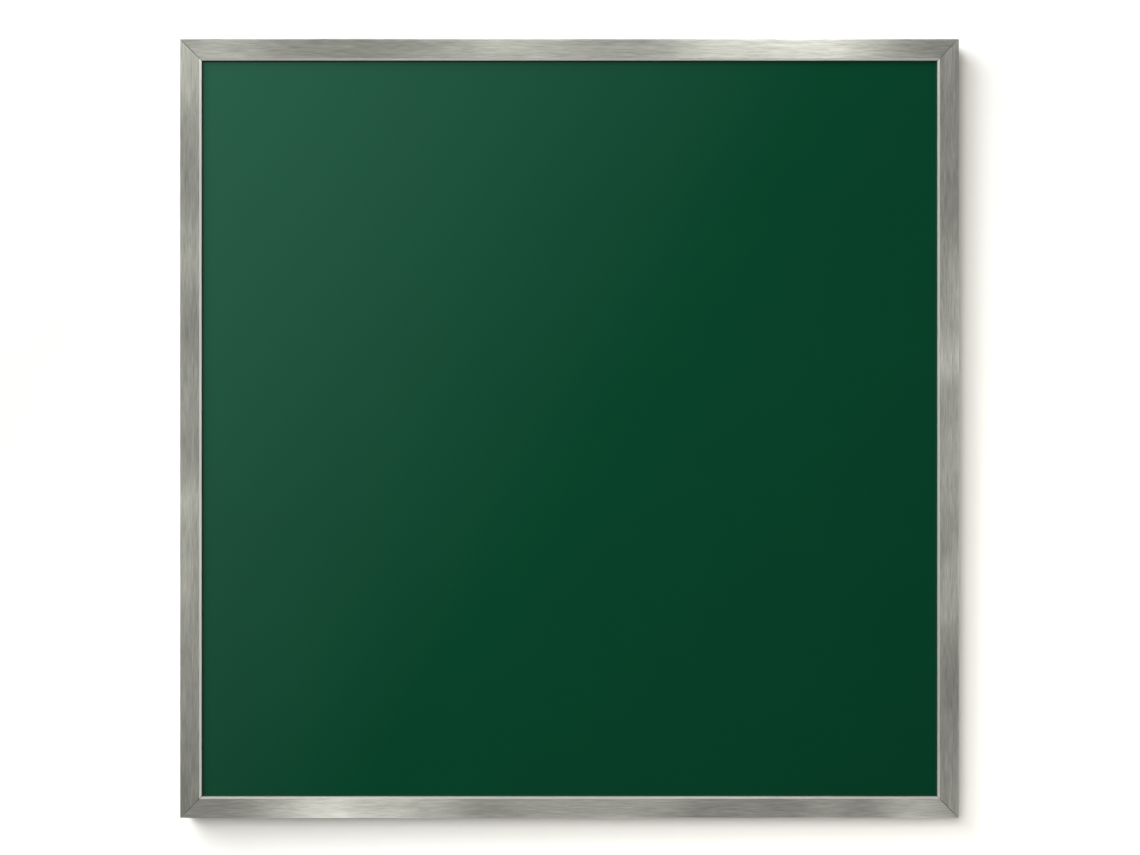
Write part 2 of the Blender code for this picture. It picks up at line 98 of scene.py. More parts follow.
# Other small sizes
GASKET_BULGE = 0.0002
PANE_SEAM = 0.0005
HARDWARE_ROUND = 0.0002
THREAD_PITCH = 0.0007
THREAD_DEPTH = 0.00035
THREAD_CHAMFER = 0.0005
SCREW_SLOT_WIDTH = 0.0008
SCREW_SLOT_DEPTH = 0.0012
SLOT_CUTTER_RADII = 3
BUMPER_FACE_SHARE = 0.80
BUMPER_SHOULDER_SHARE = 0.48
BUMPER_ROUND = 0.0005

# Steps of the round shapes
ARC_STEPS = 5
RIM_STEPS = 3
TURN_STEPS = 48
THREAD_TURN_STEPS = 24
THREAD_ROWS_A_PITCH = 4
EASE_SEGMENTS = 2

# Limits and turns
SMOOTH_ANGLE = math.radians(30)
FLAT_ANGLE = math.radians(1)
MERGE_DISTANCE = 0.000002
SCREW_TURN = math.radians(47)

# Each side's grain starts this much further on, so that no two rails show the same marks
GRAIN_STEP = 1.0

# Camera, from the board's place in a picture of 1140 by 855 pixels
PICTURE_WIDTH_PX = 1140
PICTURE_HEIGHT_PX = 855
BOARD_SIDE_PX = 778.8
BOARD_CENTRE_X_PX = 569.5
BOARD_CENTRE_Y_PX = 428.5
LENS_MM = 50
SENSOR_MM = 36
CLIP_SHARE = 0.01

# Stage
WALL_SETBACK = 0.0005
FLOOR_LEVEL = -1.3
STAGE_REACH = 8.0
STAGE_HEIGHT = 8.0


def unit_frame(turn, corner):
    """The axes of a side or a corner: u inwards, v back and s along, turned about Y."""
    return Matrix.Translation(corner) @ Matrix.Rotation(turn, 4, "Y")


SIDES = {
    "left": (unit_frame(0, (-HALF_WIDTH, FRONT, 0)), HALF_HEIGHT),
    "top": (unit_frame(math.radians(90), (0, FRONT, HALF_HEIGHT)), HALF_WIDTH),
    "right": (unit_frame(math.radians(180), (HALF_WIDTH, FRONT, 0)), HALF_HEIGHT),
    "bottom": (unit_frame(math.radians(270), (0, FRONT, -HALF_HEIGHT)), HALF_WIDTH),
}


def set_inputs(tree, node, inputs):
    """Each named input of a node linked to a socket or set to a value."""
    for name, value in inputs.items():
        if isinstance(value, bpy.types.NodeSocket):
            tree.links.new(value, node.inputs[name])
        else:
            node.inputs[name].default_value = value


def add_node(tree, kind, inputs=None, **settings):
    """A shader node with its settings made and its inputs set or linked."""
    node = tree.nodes.new(kind)
    for name, value in settings.items():
        setattr(node, name, value)
    set_inputs(tree, node, inputs or {})
    return node


def math_node(tree, operation, first, second=0.0):
    return add_node(tree, "ShaderNodeMath", {0: first, 1: second}, operation=operation).outputs[0]


def weighted_sum(tree, parts, total=0.0):
    """The sum of the values, each times its weight, on top of a total."""
    for value, weight in parts:
        total = math_node(tree, "ADD", math_node(tree, "MULTIPLY", value, weight), total)
    return total


def mapped(tree, value, low, high, start=0, end=1, **settings):
    """A value mapped from one range to another and held at its ends."""
    inputs = {"Value": value, "From Min": low, "From Max": high, "To Min": start, "To Max": end}
    return add_node(tree, "ShaderNodeMapRange", inputs, **settings).outputs["Result"]


def uneven(tree, value, middle, spread):
    """A level that a value from 0 to 1 moves both ways from its middle."""
    return mapped(tree, value, 0, 1, middle - spread, middle + spread)


def mixed(tree, factor, first, second):
    """The first colour where the factor is 0, and the second where it is 1."""
    inputs = {"Factor": factor, 6: first, 7: second}
    return add_node(tree, "ShaderNodeMix", inputs, data_type="RGBA").outputs[2]


def ramp_node(tree, factor, stops):
    """A colour ramp with the given (position, colour) stops."""
    node = add_node(tree, "ShaderNodeValToRGB", {"Fac": factor})
    elements = node.color_ramp.elements
    while len(elements) < len(stops):
        elements.new(1.0)
    for element, (position, colour) in zip(elements, stops):
        element.position = position
        element.color = (*colour, 1)
    return node.outputs["Color"]


def two_tones(tree, value, span, dark, light):
    """A colour that runs from dark to light over a span of values."""
    return ramp_node(tree, value, list(zip(span, (dark, light))))


def multiplied(tree, vector, factors):
    node = add_node(tree, "ShaderNodeVectorMath", {0: vector, 1: factors}, operation="MULTIPLY")
    return node.outputs["Vector"]


def noise_node(tree, place, cells, detail, roughness=0.5):
    """Noise of so many cells a metre."""
    inputs = {"Vector": place, "Scale": cells, "Detail": detail, "Roughness": roughness}
    return add_node(tree, "ShaderNodeTexNoise", inputs).outputs["Fac"]


def stretched_noise(tree, place, cells, detail, roughness=0.5):
    """Noise whose cells a metre are given for each axis."""
    return noise_node(tree, multiplied(tree, place, cells), 1.0, detail, roughness)


def bump_node(tree, height, strength, distance):
    inputs = {"Height": height, "Strength": strength, "Distance": distance}
    return add_node(tree, "ShaderNodeBump", inputs).outputs["Normal"]


def place_of(tree):
    return add_node(tree, "ShaderNodeTexCoord").outputs["Object"]


def axes_of(tree, vector):
    return add_node(tree, "ShaderNodeSeparateXYZ", {0: vector}).outputs


def new_material(name):
    """A new material: itself, its node tree and its Principled shader."""
    material = bpy.data.materials.new(name)
    material.use_nodes = True
    return material, material.node_tree, material.node_tree.nodes["Principled BSDF"]


# Brushed metals: dark tone, light tone, roughness and strength of the scratches. The noises have so
# many cells a metre across the grain and along it, and each has its share of the tone
BRUSHED_METALS = {
    "brushed_frame": ((0.335, 0.335, 0.30), (0.635, 0.635, 0.57), 0.30, 1.0),
    # The chamfer's metal is the frame's brushed metal in lighter tones: a painted highlight along the sight
    # edge
    "chamfer_painted_highlight": ((0.855, 0.86, 0.80), (0.935, 0.94, 0.87), 0.46, 0.2),
}
SCRATCH_CELLS = (1100, 60, 0)
STREAK_CELLS = (330, 13, 0)
CLOUD_CELLS = (120, 16, 0)
SCRATCH_SHARE = 0.6
STREAK_SHARE = 0.2
CLOUD_SHARE = 0.2
BRUSHED_SPAN = (0.34, 0.66)
BRUSHED_METALLIC = 0.92
BRUSHED_UNEVENNESS = 0.04
SCRATCH_STRENGTH = 0.12
SCRATCH_HEIGHT = 0.00003


def brushed_metal(name):
    """Metal brushed along each rail: fine scratches, wide streaks and faint clouds."""
    dark, light, roughness, scratching = BRUSHED_METALS[name]
    material, tree, shader = new_material(name)
    grain = add_node(tree, "ShaderNodeUVMap", uv_map="grain").outputs["UV"]
    scratches = stretched_noise(tree, grain, SCRATCH_CELLS, detail=4.0, roughness=0.6)
    streaks = stretched_noise(tree, grain, STREAK_CELLS, detail=2.0)
    clouds = stretched_noise(tree, grain, CLOUD_CELLS, detail=2.0)
    marks = [(scratches, SCRATCH_SHARE), (streaks, STREAK_SHARE), (clouds, CLOUD_SHARE)]
    tangent = add_node(tree, "ShaderNodeTangent", direction_type="UV_MAP", uv_map="grain").outputs["Tangent"]
    set_inputs(tree, shader, {
        "Base Color": two_tones(tree, weighted_sum(tree, marks), BRUSHED_SPAN, dark, light),
        "Metallic": BRUSHED_METALLIC,
        "Roughness": uneven(tree, streaks, roughness, BRUSHED_UNEVENNESS),
        "Anisotropic": 1.0,
        "Tangent": tangent,
        "Normal": bump_node(tree, scratches, SCRATCH_STRENGTH * scratching, SCRATCH_HEIGHT),
    })
    return material


# Enamelled glass. Its colour runs between two greens so close that it looks like one
ENAMEL_CELLS = 9.0
ENAMEL_STOPS = [
    (0.3, (0.0032, 0.0563, 0.0256)),
    (0.7, (0.0034, 0.0587, 0.0268)),
]
GLASS_IOR = 1.52
WAVE_CELLS = 5.0
WAVE_STRENGTH = 0.05
WAVE_HEIGHT = 0.0002


def green_glass():
    """Toughened float glass with green enamel on its back: a deep colour under a clear gloss."""
    material, tree, shader = new_material("green_glass")
    place = place_of(tree)
    enamel = noise_node(tree, place, ENAMEL_CELLS, detail=2.0)
    waves = noise_node(tree, place, WAVE_CELLS, detail=1.0)
    set_inputs(tree, shader, {
        "Base Color": ramp_node(tree, enamel, ENAMEL_STOPS),
        "Roughness": 0.0,
        "IOR": GLASS_IOR,
        "Normal": bump_node(tree, waves, WAVE_STRENGTH, WAVE_HEIGHT),
    })
    return material


# Rubbers: colour and roughness. The bloom lightens the colour by a factor
RUBBERS = {
    "grey_seal": ((0.11, 0.112, 0.105), 0.7),
    "bumper_rubber": ((0.022, 0.022, 0.024), 0.6),
}
BLOOM_CELLS = 220.0
BLOOM_SPAN = (0.35, 0.75)
BLOOM_FACTOR = 1.5
RUBBER_UNEVENNESS = 0.08
GRAIN_CELLS = 2600.0
GRAIN_STRENGTH = 0.25
GRAIN_HEIGHT = 0.00006


def rubber(name):
    """Moulded rubber with a faint cloudy bloom and a fine grain."""
    colour, roughness = RUBBERS[name]
    material, tree, shader = new_material(name)
    place = place_of(tree)
    bloom = noise_node(tree, place, BLOOM_CELLS, detail=4.0)
    grain = noise_node(tree, place, GRAIN_CELLS, detail=2.0)
    light = tuple(channel * BLOOM_FACTOR for channel in colour)
    set_inputs(tree, shader, {
        "Base Color": two_tones(tree, bloom, BLOOM_SPAN, colour, light),
        "Roughness": uneven(tree, bloom, roughness, RUBBER_UNEVENNESS),
        "Normal": bump_node(tree, grain, GRAIN_STRENGTH, GRAIN_HEIGHT),
    })
    return material


# Hardboard: dark, middle and pale tones
FIBRE_CELLS = (700, 700, 380)
PATCH_CELLS = 24.0
FIBRE_SHARE = 0.86
PATCH_SHARE = 0.14
HARDBOARD_STOPS = [
    (0.30, (0.105, 0.055, 0.028)),
    (0.50, (0.20, 0.115, 0.06)),
    (0.72, (0.33, 0.21, 0.12)),
]
HARDBOARD_ROUGHNESS = (0.55, 0.8)
FIBRE_STRENGTH = 0.3
FIBRE_HEIGHT = 0.0002


def hardboard():
    """Pressed wood fibre: a brown sheet with pale and dark flecks and a slightly uneven sheen."""
    material, tree, shader = new_material("hardboard")
    place = place_of(tree)
    fibres = stretched_noise(tree, place, FIBRE_CELLS, detail=5.0, roughness=0.65)
    patches = noise_node(tree, place, PATCH_CELLS, detail=4.0)
    tone = weighted_sum(tree, [(fibres, FIBRE_SHARE), (patches, PATCH_SHARE)])
    set_inputs(tree, shader, {
        "Base Color": ramp_node(tree, tone, HARDBOARD_STOPS),
        "Roughness": mapped(tree, patches, 0, 1, *HARDBOARD_ROUGHNESS),
        "Normal": bump_node(tree, fibres, FIBRE_STRENGTH, FIBRE_HEIGHT),
    })
    return material


# Steels: colour, roughness and spangle cells a metre
STEELS = {
    "screw_steel": ((0.20, 0.20, 0.21), 0.38, 900.0),
    "zinc_plate": ((0.56, 0.57, 0.58), 0.34, 260.0),
    "hanger_zinc": ((0.60, 0.59, 0.55), 0.32, 240.0),
    "galvanised": ((0.50, 0.52, 0.54), 0.4, 60.0),
    "spring_steel": ((0.28, 0.30, 0.35), 0.3, 500.0),
}
DRAWING_CELLS = (300, 900, 2400)
SPANGLE_SHARE = 0.4
DRAWING_SHARE = 0.6
STEEL_SPAN = (0.2, 0.8)
DARK_FACTOR = 0.80
LIGHT_FACTOR = 1.12
STEEL_UNEVENNESS = 0.08
DRAWING_STRENGTH = 0.15
DRAWING_HEIGHT = 0.00004


def plated_steel(name):
    """Steel with its plating: cells of slightly different tone, and fine drawing marks."""
    colour, roughness, spangle_cells = STEELS[name]
    material, tree, shader = new_material(name)
    place = place_of(tree)
    cells = add_node(tree, "ShaderNodeTexVoronoi", {"Vector": place, "Scale": spangle_cells})
    spangle = add_node(tree, "ShaderNodeSeparateColor", {"Color": cells.outputs["Color"]}).outputs["Red"]
    drawing = stretched_noise(tree, place, DRAWING_CELLS, detail=3.0)
    tone = weighted_sum(tree, [(spangle, SPANGLE_SHARE), (drawing, DRAWING_SHARE)])
    dark = tuple(channel * DARK_FACTOR for channel in colour)
    light = tuple(channel * LIGHT_FACTOR for channel in colour)
    set_inputs(tree, shader, {
        "Base Color": two_tones(tree, tone, STEEL_SPAN, dark, light),
        "Metallic": 1.0,
        "Roughness": uneven(tree, tone, roughness, STEEL_UNEVENNESS),
        "Normal": bump_node(tree, drawing, DRAWING_STRENGTH, DRAWING_HEIGHT),
    })
    return material


def as_mesh(shape, name):
    """The mesh of a finished shape."""
    mesh = bpy.data.meshes.new(name)
    shape.to_mesh(mesh)
    shape.free()
    return mesh


def smoothed(mesh):
    """A mesh shaded smooth, apart from its sharp edges."""
    mesh.shade_smooth()
    mesh.set_sharp_from_angle(angle=SMOOTH_ANGLE)
    return mesh


def nodes_named(start):
    """The CAD nodes whose names begin so, in order."""
    return sorted(node for node in frame["nodes"] if node.startswith(start))


def body_of_node(node):
    bodies = frame["record"]["behaviour"]["bodies"]
    return next(body for body, nodes in bodies.items() if node in nodes)


def add_piece(name, mesh, material, node, place=Matrix.Identity(4)):
    """A visible piece that stands for a CAD node, on that node's body; the node itself is hidden."""
    mesh.materials.append(material)
    piece = bpy.data.objects.new(name, mesh)
    bpy.context.scene.collection.objects.link(piece)
    piece.matrix_world = place
    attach(piece, body_of_node(node))
    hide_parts(node)
    return piece


def dress_node(node, material):
    """A CAD node that stays visible, with its finish."""
    piece = frame["nodes"][node]
    piece.data.materials.clear()
    piece.data.materials.append(material)


def round_edges(piece, width):
    """Edges eased by a small round, with the flat faces kept flat."""
    bevel = piece.modifiers.new("ease", "BEVEL")
    bevel.width = width
    bevel.segments = EASE_SEGMENTS
    bevel.limit_method = "ANGLE"
    bevel.angle_limit = SMOOTH_ANGLE
    bevel.harden_normals = True
    bevel.use_clamp_overlap = True


def arc_points(centre, radius, start, end, steps=ARC_STEPS):
    """Points of an arc from one angle to another."""
    angles = [start + (end - start) * step / steps for step in range(steps + 1)]
    return [(centre[0] + radius * math.cos(a), centre[1] + radius * math.sin(a)) for a in angles]


def turned_point(radius, turn_share, z):
    """A point at a share of the turn about Z."""
    angle = math.tau * turn_share
    return (radius * math.cos(angle), radius * math.sin(angle), z)


def turn_shares(steps):
    return [step / steps for step in range(steps)]


def ringed_shape(rings):
    """A closed shape through rings of points, with a flat cap at both ends."""
    shape = bmesh.new()
    rows = [[shape.verts.new(point) for point in ring] for ring in rings]
    for lower, upper in zip(rows, rows[1:]):
        for step in range(len(lower)):
            after = (step + 1) % len(lower)
            shape.faces.new([lower[step], lower[after], upper[after], upper[step]])
    shape.faces.new(rows[0])
    shape.faces.new(rows[-1])
    bmesh.ops.recalc_face_normals(shape, faces=shape.faces)
    return shape


def box_shape(size, middle=(0, 0, 0)):
    shape = bmesh.new()
    matrix = Matrix.Translation(middle) @ Matrix.Diagonal((*size, 1))
    bmesh.ops.create_cube(shape, size=1, matrix=matrix)
    return shape


def rail_section():
    """The rail's outline, clockwise from the outer front arris, which is a small round."""
    channel_inner = SIDE_WALL + CHANNEL_WIDTH
    channel_back = channel_inner + CHANNEL_WALL
    channel_front = FLOOR_FRONT + CHANNEL_WALL
    middle = SIDE_WALL + CHANNEL_WIDTH / 2
    mouth_outer = middle - CHANNEL_MOUTH / 2
    mouth_inner = middle + CHANNEL_MOUTH / 2
    mouth_front = FRAME_DEPTH - CHANNEL_WALL
    return [
        *arc_points((OUTER_ARRIS, OUTER_ARRIS), OUTER_ARRIS, math.pi, 1.5 * math.pi),
        (SIDE_WALL, 0),
        (FACE_WIDTH - SIGHT_CHAMFER_WIDTH, 0),
        (FACE_WIDTH, SIGHT_CHAMFER_DEPTH),
        (FACE_WIDTH, LIP_DEPTH),
        (FACE_WIDTH - LIP_WIDTH, LIP_DEPTH),
        (FACE_WIDTH - LIP_WIDTH, FACE_WALL),
        (SIDE_WALL, FACE_WALL),
        (SIDE_WALL, FLOOR_FRONT),
        (channel_back, FLOOR_FRONT),
        (channel_back, FRAME_DEPTH),
        (mouth_inner, FRAME_DEPTH),
        (mouth_inner, mouth_front),
        (channel_inner, mouth_front),
        (channel_inner, channel_front),
        (SIDE_WALL, channel_front),
        (SIDE_WALL, mouth_front),
        (mouth_outer, mouth_front),
        (mouth_outer, FRAME_DEPTH),
        *arc_points((OUTER_ARRIS, FRAME_DEPTH - OUTER_ARRIS), OUTER_ARRIS, 0.5 * math.pi, math.pi),
    ]


def gasket_section():
    """A strip pressed between the lip and the glass, its free side bulging a little."""
    inner = HALF_HEIGHT - GASKET_LOW.z
    outer = HALF_HEIGHT - GASKET_HIGH.z
    return [
        (outer, LIP_DEPTH),
        (inner, LIP_DEPTH),
        (inner + GASKET_BULGE, (LIP_DEPTH + GLASS_FRONT) / 2),
        (inner, GLASS_FRONT),
        (outer, GLASS_FRONT),
    ]


def mitre_end(u, half_length, gap):
    """How far along its side a point of the section runs.

    The mitre's gap is closed at the outer side and open from the side wall's inner face on.
    """
    return half_length - u - gap * min(1, u / SIDE_WALL) / math.sqrt(2)


def add_facets(shape, section, ends, grain_start, painted_highlight_start):
    """The long facets between the section's two ends, with the grain's lengths as UV.

    The facet that starts at the section's highlight point gets the second material: a lighter copy of the
    metal, which paints the chamfer's highlight.
    """
    grain = shape.loops.layers.uv["grain"]
    girth = 0.0
    for index, point in enumerate(section):
        after = (index + 1) % len(section)
        next_girth = girth + math.dist(point, section[after])
        face = shape.faces.new([ends[0][index], ends[0][after], ends[1][after], ends[1][index]])
        face.material_index = int(point == painted_highlight_start)
        for loop, across in zip(face.loops, (girth, next_girth, next_girth, girth)):
            loop[grain].uv = (across, loop.vert.co.z + grain_start)
        girth = next_girth


def mitred_mesh(name, section, half_length, gap, grain_start, painted_highlight_start=None):
    """A section swept along a side to a mitre at both ends."""
    shape = bmesh.new()
    grain = shape.loops.layers.uv.new("grain")
    ends = []
    for side in (-1, 1):
        points = [(u, v, side * mitre_end(u, half_length, gap)) for u, v in section]
        ends.append([shape.verts.new(point) for point in points])
    add_facets(shape, section, ends, grain_start, painted_highlight_start)
    for end in ends:
        cap = shape.faces.new(end)
        for loop in cap.loops:
            loop[grain].uv = (loop.vert.co.x, loop.vert.co.y)
    bmesh.ops.recalc_face_normals(shape, faces=shape.faces)
    return smoothed(as_mesh(shape, name))


def add_rails(metal, painted_highlight_metal, foam):
    """The four rails, each with its chamfer in a lighter copy of the metal as a painted highlight, and the
    gasket under its lip.
    """
    # The facet from this point, the chamfer, gets the lighter metal of the painted highlight
    chamfer_start = (FACE_WIDTH - SIGHT_CHAMFER_WIDTH, 0)
    for number, (side, (place, half_length)) in enumerate(SIDES.items(), start=1):
        grain_start = number * GRAIN_STEP
        name = f"frame_{side}"
        rail = mitred_mesh(name, rail_section(), half_length, MITRE_GAP, grain_start, chamfer_start)
        piece = add_piece(name, rail, metal, f"rail_{side}", place)
        piece.data.materials.append(painted_highlight_metal)
        round_edges(piece, EDGE_ROUND)
        strip = mitred_mesh(f"seal_{side}", gasket_section(), half_length, 0, grain_start)
        add_piece(f"seal_{side}", strip, foam, f"gasket_{side}", place)


def add_pane(glass):
    """The pane as a slab with seamed edges."""
    shape = box_shape(GLASS_HIGH - GLASS_LOW)
    bmesh.ops.bevel(shape, geom=shape.edges[:], offset=PANE_SEAM, segments=1, affect="EDGES")
    middle = (GLASS_LOW + GLASS_HIGH) / 2
    add_piece("pane", as_mesh(shape, "pane"), glass, "glass_pane", Matrix.Translation(middle))


def add_eased_copy(node, name, material):
    """A CAD node's own shape with its flat faces made whole and its edges eased."""
    shape = bmesh.new()
    shape.from_mesh(frame["nodes"][node].data)
    bmesh.ops.remove_doubles(shape, verts=shape.verts, dist=MERGE_DISTANCE)
    bmesh.ops.dissolve_limit(shape, angle_limit=FLAT_ANGLE, verts=shape.verts, edges=shape.edges)
    piece = add_piece(name, smoothed(as_mesh(shape, name)), material, node)
    round_edges(piece, HARDWARE_ROUND)


def add_keys_and_hangers(zinc, hanger_zinc):
    for node in nodes_named("corner_key"):
        add_eased_copy(node, f"key_{node.removeprefix('corner_key_')}", zinc)
    for node in nodes_named("hanger"):
        add_eased_copy(node, f"{node}_plate", hanger_zinc)


def thread_radius(z, turn_share, length, radius):
    """How far the thread is from the screw's axis, at a height and a share of the turn."""
    wave = abs(((z / THREAD_PITCH - turn_share) % 1) * 2 - 1)
    chamfered = radius - max(0, THREAD_CHAMFER - min(z, length - z))
    return min(radius - THREAD_DEPTH * wave, chamfered)


def screw_mesh(length, radius):
    """A set screw's threaded shank, before its slot is cut."""
    rows = round(length / THREAD_PITCH * THREAD_ROWS_A_PITCH)
    rings = []
    for row in range(rows + 1):
        z = length * row / rows
        ring = []
        for share in turn_shares(THREAD_TURN_STEPS):
            ring.append(turned_point(thread_radius(z, share, length, radius), share, z))
        rings.append(ring)
    shape = ringed_shape(rings)
    bmesh.ops.triangulate(shape, faces=shape.faces)
    return as_mesh(shape, "set_screw")


def cut_mesh(mesh, cutter_size, cutter_middle):
    """A mesh with a box taken out of it, as a new mesh."""
    blank = bpy.data.objects.new("blank", mesh)
    cutter = bpy.data.objects.new("cutter", as_mesh(box_shape(cutter_size, cutter_middle), "cutter"))
    for thing in (blank, cutter):
        bpy.context.scene.collection.objects.link(thing)
    boolean = blank.modifiers.new("cut", "BOOLEAN")
    boolean.operation = "DIFFERENCE"
    boolean.solver = "EXACT"
    boolean.object = cutter
    bpy.context.view_layer.update()
    graph = bpy.context.evaluated_depsgraph_get()
    result = bpy.data.meshes.new_from_object(blank.evaluated_get(graph))
    for thing in (blank, cutter):
        bpy.data.objects.remove(thing)
    return result


def facing_wall(node):
    """The middle of a node's front, with z towards the wall."""
    low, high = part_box(node)
    middle = (low + high) / 2
    return Matrix.Translation((middle.x, low.y, middle.z)) @ Matrix.Rotation(math.radians(-90), 4, "X")


def add_screws(steel):
    """The set screws, threaded and slotted, each turned a little further than the last.

    The slot's cutter is wider than the screw, and its middle lies in the screw's rear end.
    """
    length = SCREW_HIGH.y - SCREW_LOW.y
    radius = (SCREW_HIGH.x - SCREW_LOW.x) / 2
    slot = (SLOT_CUTTER_RADII * radius, SCREW_SLOT_WIDTH, 2 * SCREW_SLOT_DEPTH)
    shape = cut_mesh(screw_mesh(length, radius), slot, (0, 0, length))
    for index, node in enumerate(nodes_named("set_screw")):
        place = facing_wall(node) @ Matrix.Rotation(index * SCREW_TURN, 4, "Z")
        add_piece(f"screw_{node.removeprefix('set_screw_')}", smoothed(shape.copy()), steel, node, place)


def bumper_profile():
    """Straight base, tapered shoulder and round rim, as distances from the axis and heights.

    The rim's arc starts where the taper touches it, and ends at the flat face.
    """
    radius = (BUMPER_HIGH.x - BUMPER_LOW.x) / 2
    height = BUMPER_HIGH.y - BUMPER_LOW.y
    rim = Vector((radius * BUMPER_FACE_SHARE - BUMPER_ROUND, height - BUMPER_ROUND))
    shoulder = Vector((radius, height * BUMPER_SHOULDER_SHARE))
    away = shoulder - rim
    taper_meets_rim = math.atan2(away.y, away.x) + math.acos(BUMPER_ROUND / away.length)
    return [
        (radius, 0),
        shoulder,
        *arc_points(rim, BUMPER_ROUND, taper_meets_rim, math.pi / 2, RIM_STEPS),
    ]


def bumper_mesh():
    """A turned foot that faces +z."""
    rings = []
    for radius, z in bumper_profile():
        rings.append([turned_point(radius, share, z) for share in turn_shares(TURN_STEPS)])
    return smoothed(as_mesh(ringed_shape(rings), "bumper"))


def add_bumpers(material):
    shape = bumper_mesh()
    for node in nodes_named("wall_bumper"):
        name = f"foot_{node.removeprefix('wall_bumper_')}"
        piece = add_piece(name, shape.copy(), material, node, facing_wall(node))
        round_edges(piece, HARDWARE_ROUND)


def add_board():
    """Every piece of the board with its finish."""
    # The second brushed metal paints a highlight on the rails' chamfers
    add_rails(brushed_metal("brushed_frame"), brushed_metal("chamfer_painted_highlight"), rubber("grey_seal"))
    add_pane(green_glass())
    add_screws(plated_steel("screw_steel"))
    zinc = plated_steel("zinc_plate")
    add_keys_and_hangers(zinc, plated_steel("hanger_zinc"))
    add_bumpers(rubber("bumper_rubber"))
    dress_node("steel_sheet", plated_steel("galvanised"))
    dress_node("backing_board", hardboard())
    spring_steel = plated_steel("spring_steel")
    for node in nodes_named("leaf_spring"):
        dress_node(node, spring_steel)
    for node in nodes_named("corner_shim"):
        dress_node(node, zinc)


WHITE = (1, 1, 1, 1)
BLACK = (0, 0, 0, 1)

# Paint of the wall and the floor: its white, the duller white that scattered light finds, and what
# the camera sees of it, as a level at the middle and its rise along X and along Z, with a least
# level. Between two distances from the middle it melts in white
PAINT_WHITE = 0.80
PAINT_BOUNCE = 0.35
WALL_SEEN = (1.255, 1.037, -1.006)
FLOOR_SEEN = (1.50, 0, 0)
LEAST_SEEN = 0.76
WALL_MELT = (0.46, 0.62)
FLOOR_MELT = (1.30, 2.20)

# Lamps: place, size, power and colour. With the light all round they give the board's front the
# light that shows a colour as written. The light from behind starts at the side and is full at
# directions whose Y is the back edge
LAMPS = {
    "key": ((-0.945, -3.600, 0.953), 1.55, 60.7, (1.0, 0.99, 0.96)),
    "near": ((-0.775, -0.729, 0.732), 1.03, 17.2, (0.97, 1.0, 1.0)),
}
AMBIENT = (0.170, 0.158, 0.122, 1)
AMBIENT_BEHIND = (1.10, 1.09, 1.07, 1)
BACK_EDGE = 0.25

# What the metal and the glass mirror of the studio: in front by height, and brighter to the right
# by a factor, and behind by height
FRONT_GLOSS = ((-0.8, 0.48), (0.0, 0.75), (0.25, 0.78), (0.8, 0.72))
RIGHT_GLOSS = 1.75
RIGHT_SPAN = (0.2, 0.8)
CEILING_GLOSS = 0.90
GROUND_GLOSS = 0.42
BACK_GLOSS_SPAN = (-0.4, 0.8)

# The glow that the glass mirrors from its upper left, by the slope of the direction. It fades along
# a slanted line, and outside the slopes that a camera in front can see it gives way to the studio.
# A slope is taken over no less than the least forward part of a direction
GLOW_SLANT = (0.840, -0.542)
GLOW_FADE_START = -0.3684
GLOW_FADE_END = 0.0131
GLOW_LEVEL = 0.855
GLOW_TINT = (0.625, 1.0, 1.0, 1)
GLOW_EDGE = (0.25, 0.50)
LEAST_FORWARD = 0.001

# Strip lights that the brushed rails mirror, each (place along the rail, half width, level)
STRIP_DISTANCE = 0.35
STRIP_INNER = 0.115
STRIP_SOFT = 0.01
STRIP_OUTER = 0.30
STRIP_BASES = {"top": 0.46, "right": 0.05, "bottom": 0.18, "left": 0.04}
STRIP_LIGHTS = {
    "top": (
        (-0.275, 0.024, 1.58),
        (-0.094, 0.035, 1.02),
        (-0.044, 0.037, 2.23),
        (0.008, 0.031, 0.88),
        (0.160, 0.080, 4.89),
        (0.209, 0.024, 1.63),
    ),
    "right": (
        (-0.105, 0.036, 1.19),
        (-0.054, 0.010, 2.86),
        (0.023, 0.050, 1.47),
        (0.129, 0.033, 1.72),
        (0.276, 0.060, 0.80),
    ),
    "bottom": (
        (-0.275, 0.028, 2.87),
        (-0.201, 0.017, 1.55),
        (-0.143, 0.026, 0.79),
        (-0.067, 0.029, 1.09),
        (-0.001, 0.059, 1.58),
        (0.103, 0.016, 2.05),
        (0.140, 0.015, 3.05),
        (0.189, 0.026, 4.88),
        (0.237, 0.010, 1.38),
    ),
    "left": (
        (0.296, 0.038, 1.81),
        (0.136, 0.028, 1.30),
        (0.022, 0.033, 0.95),
        (-0.100, 0.048, 1.47),
        (-0.054, 0.010, 2.00),
        (-0.209, 0.063, 0.78),
    ),
}


def stage_sheet(name, corners, material, place=Matrix.Identity(4)):
    """A flat sheet of the set, which isn't part of the board."""
    mesh = bpy.data.meshes.new(name)
    mesh.from_pydata(corners, [], [tuple(range(len(corners)))])
    mesh.materials.append(material)
    sheet = bpy.data.objects.new(name, mesh)
    sheet.matrix_world = place
    bpy.context.scene.collection.objects.link(sheet)
    return sheet


def bare_material(name):
    """A material without a shader: itself, its node tree and what is known of each ray."""
    material, tree, shader = new_material(name)
    tree.nodes.remove(shader)
    return material, tree, add_node(tree, "ShaderNodeLightPath").outputs


def mixed_shader(tree, factor, first, second):
    return add_node(tree, "ShaderNodeMixShader", {0: factor, 1: first, 2: second}).outputs[0]


def clear_shader(tree):
    return add_node(tree, "ShaderNodeBsdfTransparent").outputs[0]


def set_surface(tree, surface):
    tree.links.new(surface, tree.nodes["Material Output"].inputs["Surface"])


def scattered_at_most(tree, rays, times):
    """1 where matt surfaces have scattered the ray so many times or fewer, and else 0."""
    return math_node(tree, "LESS_THAN", rays["Diffuse Depth"], times + 1)


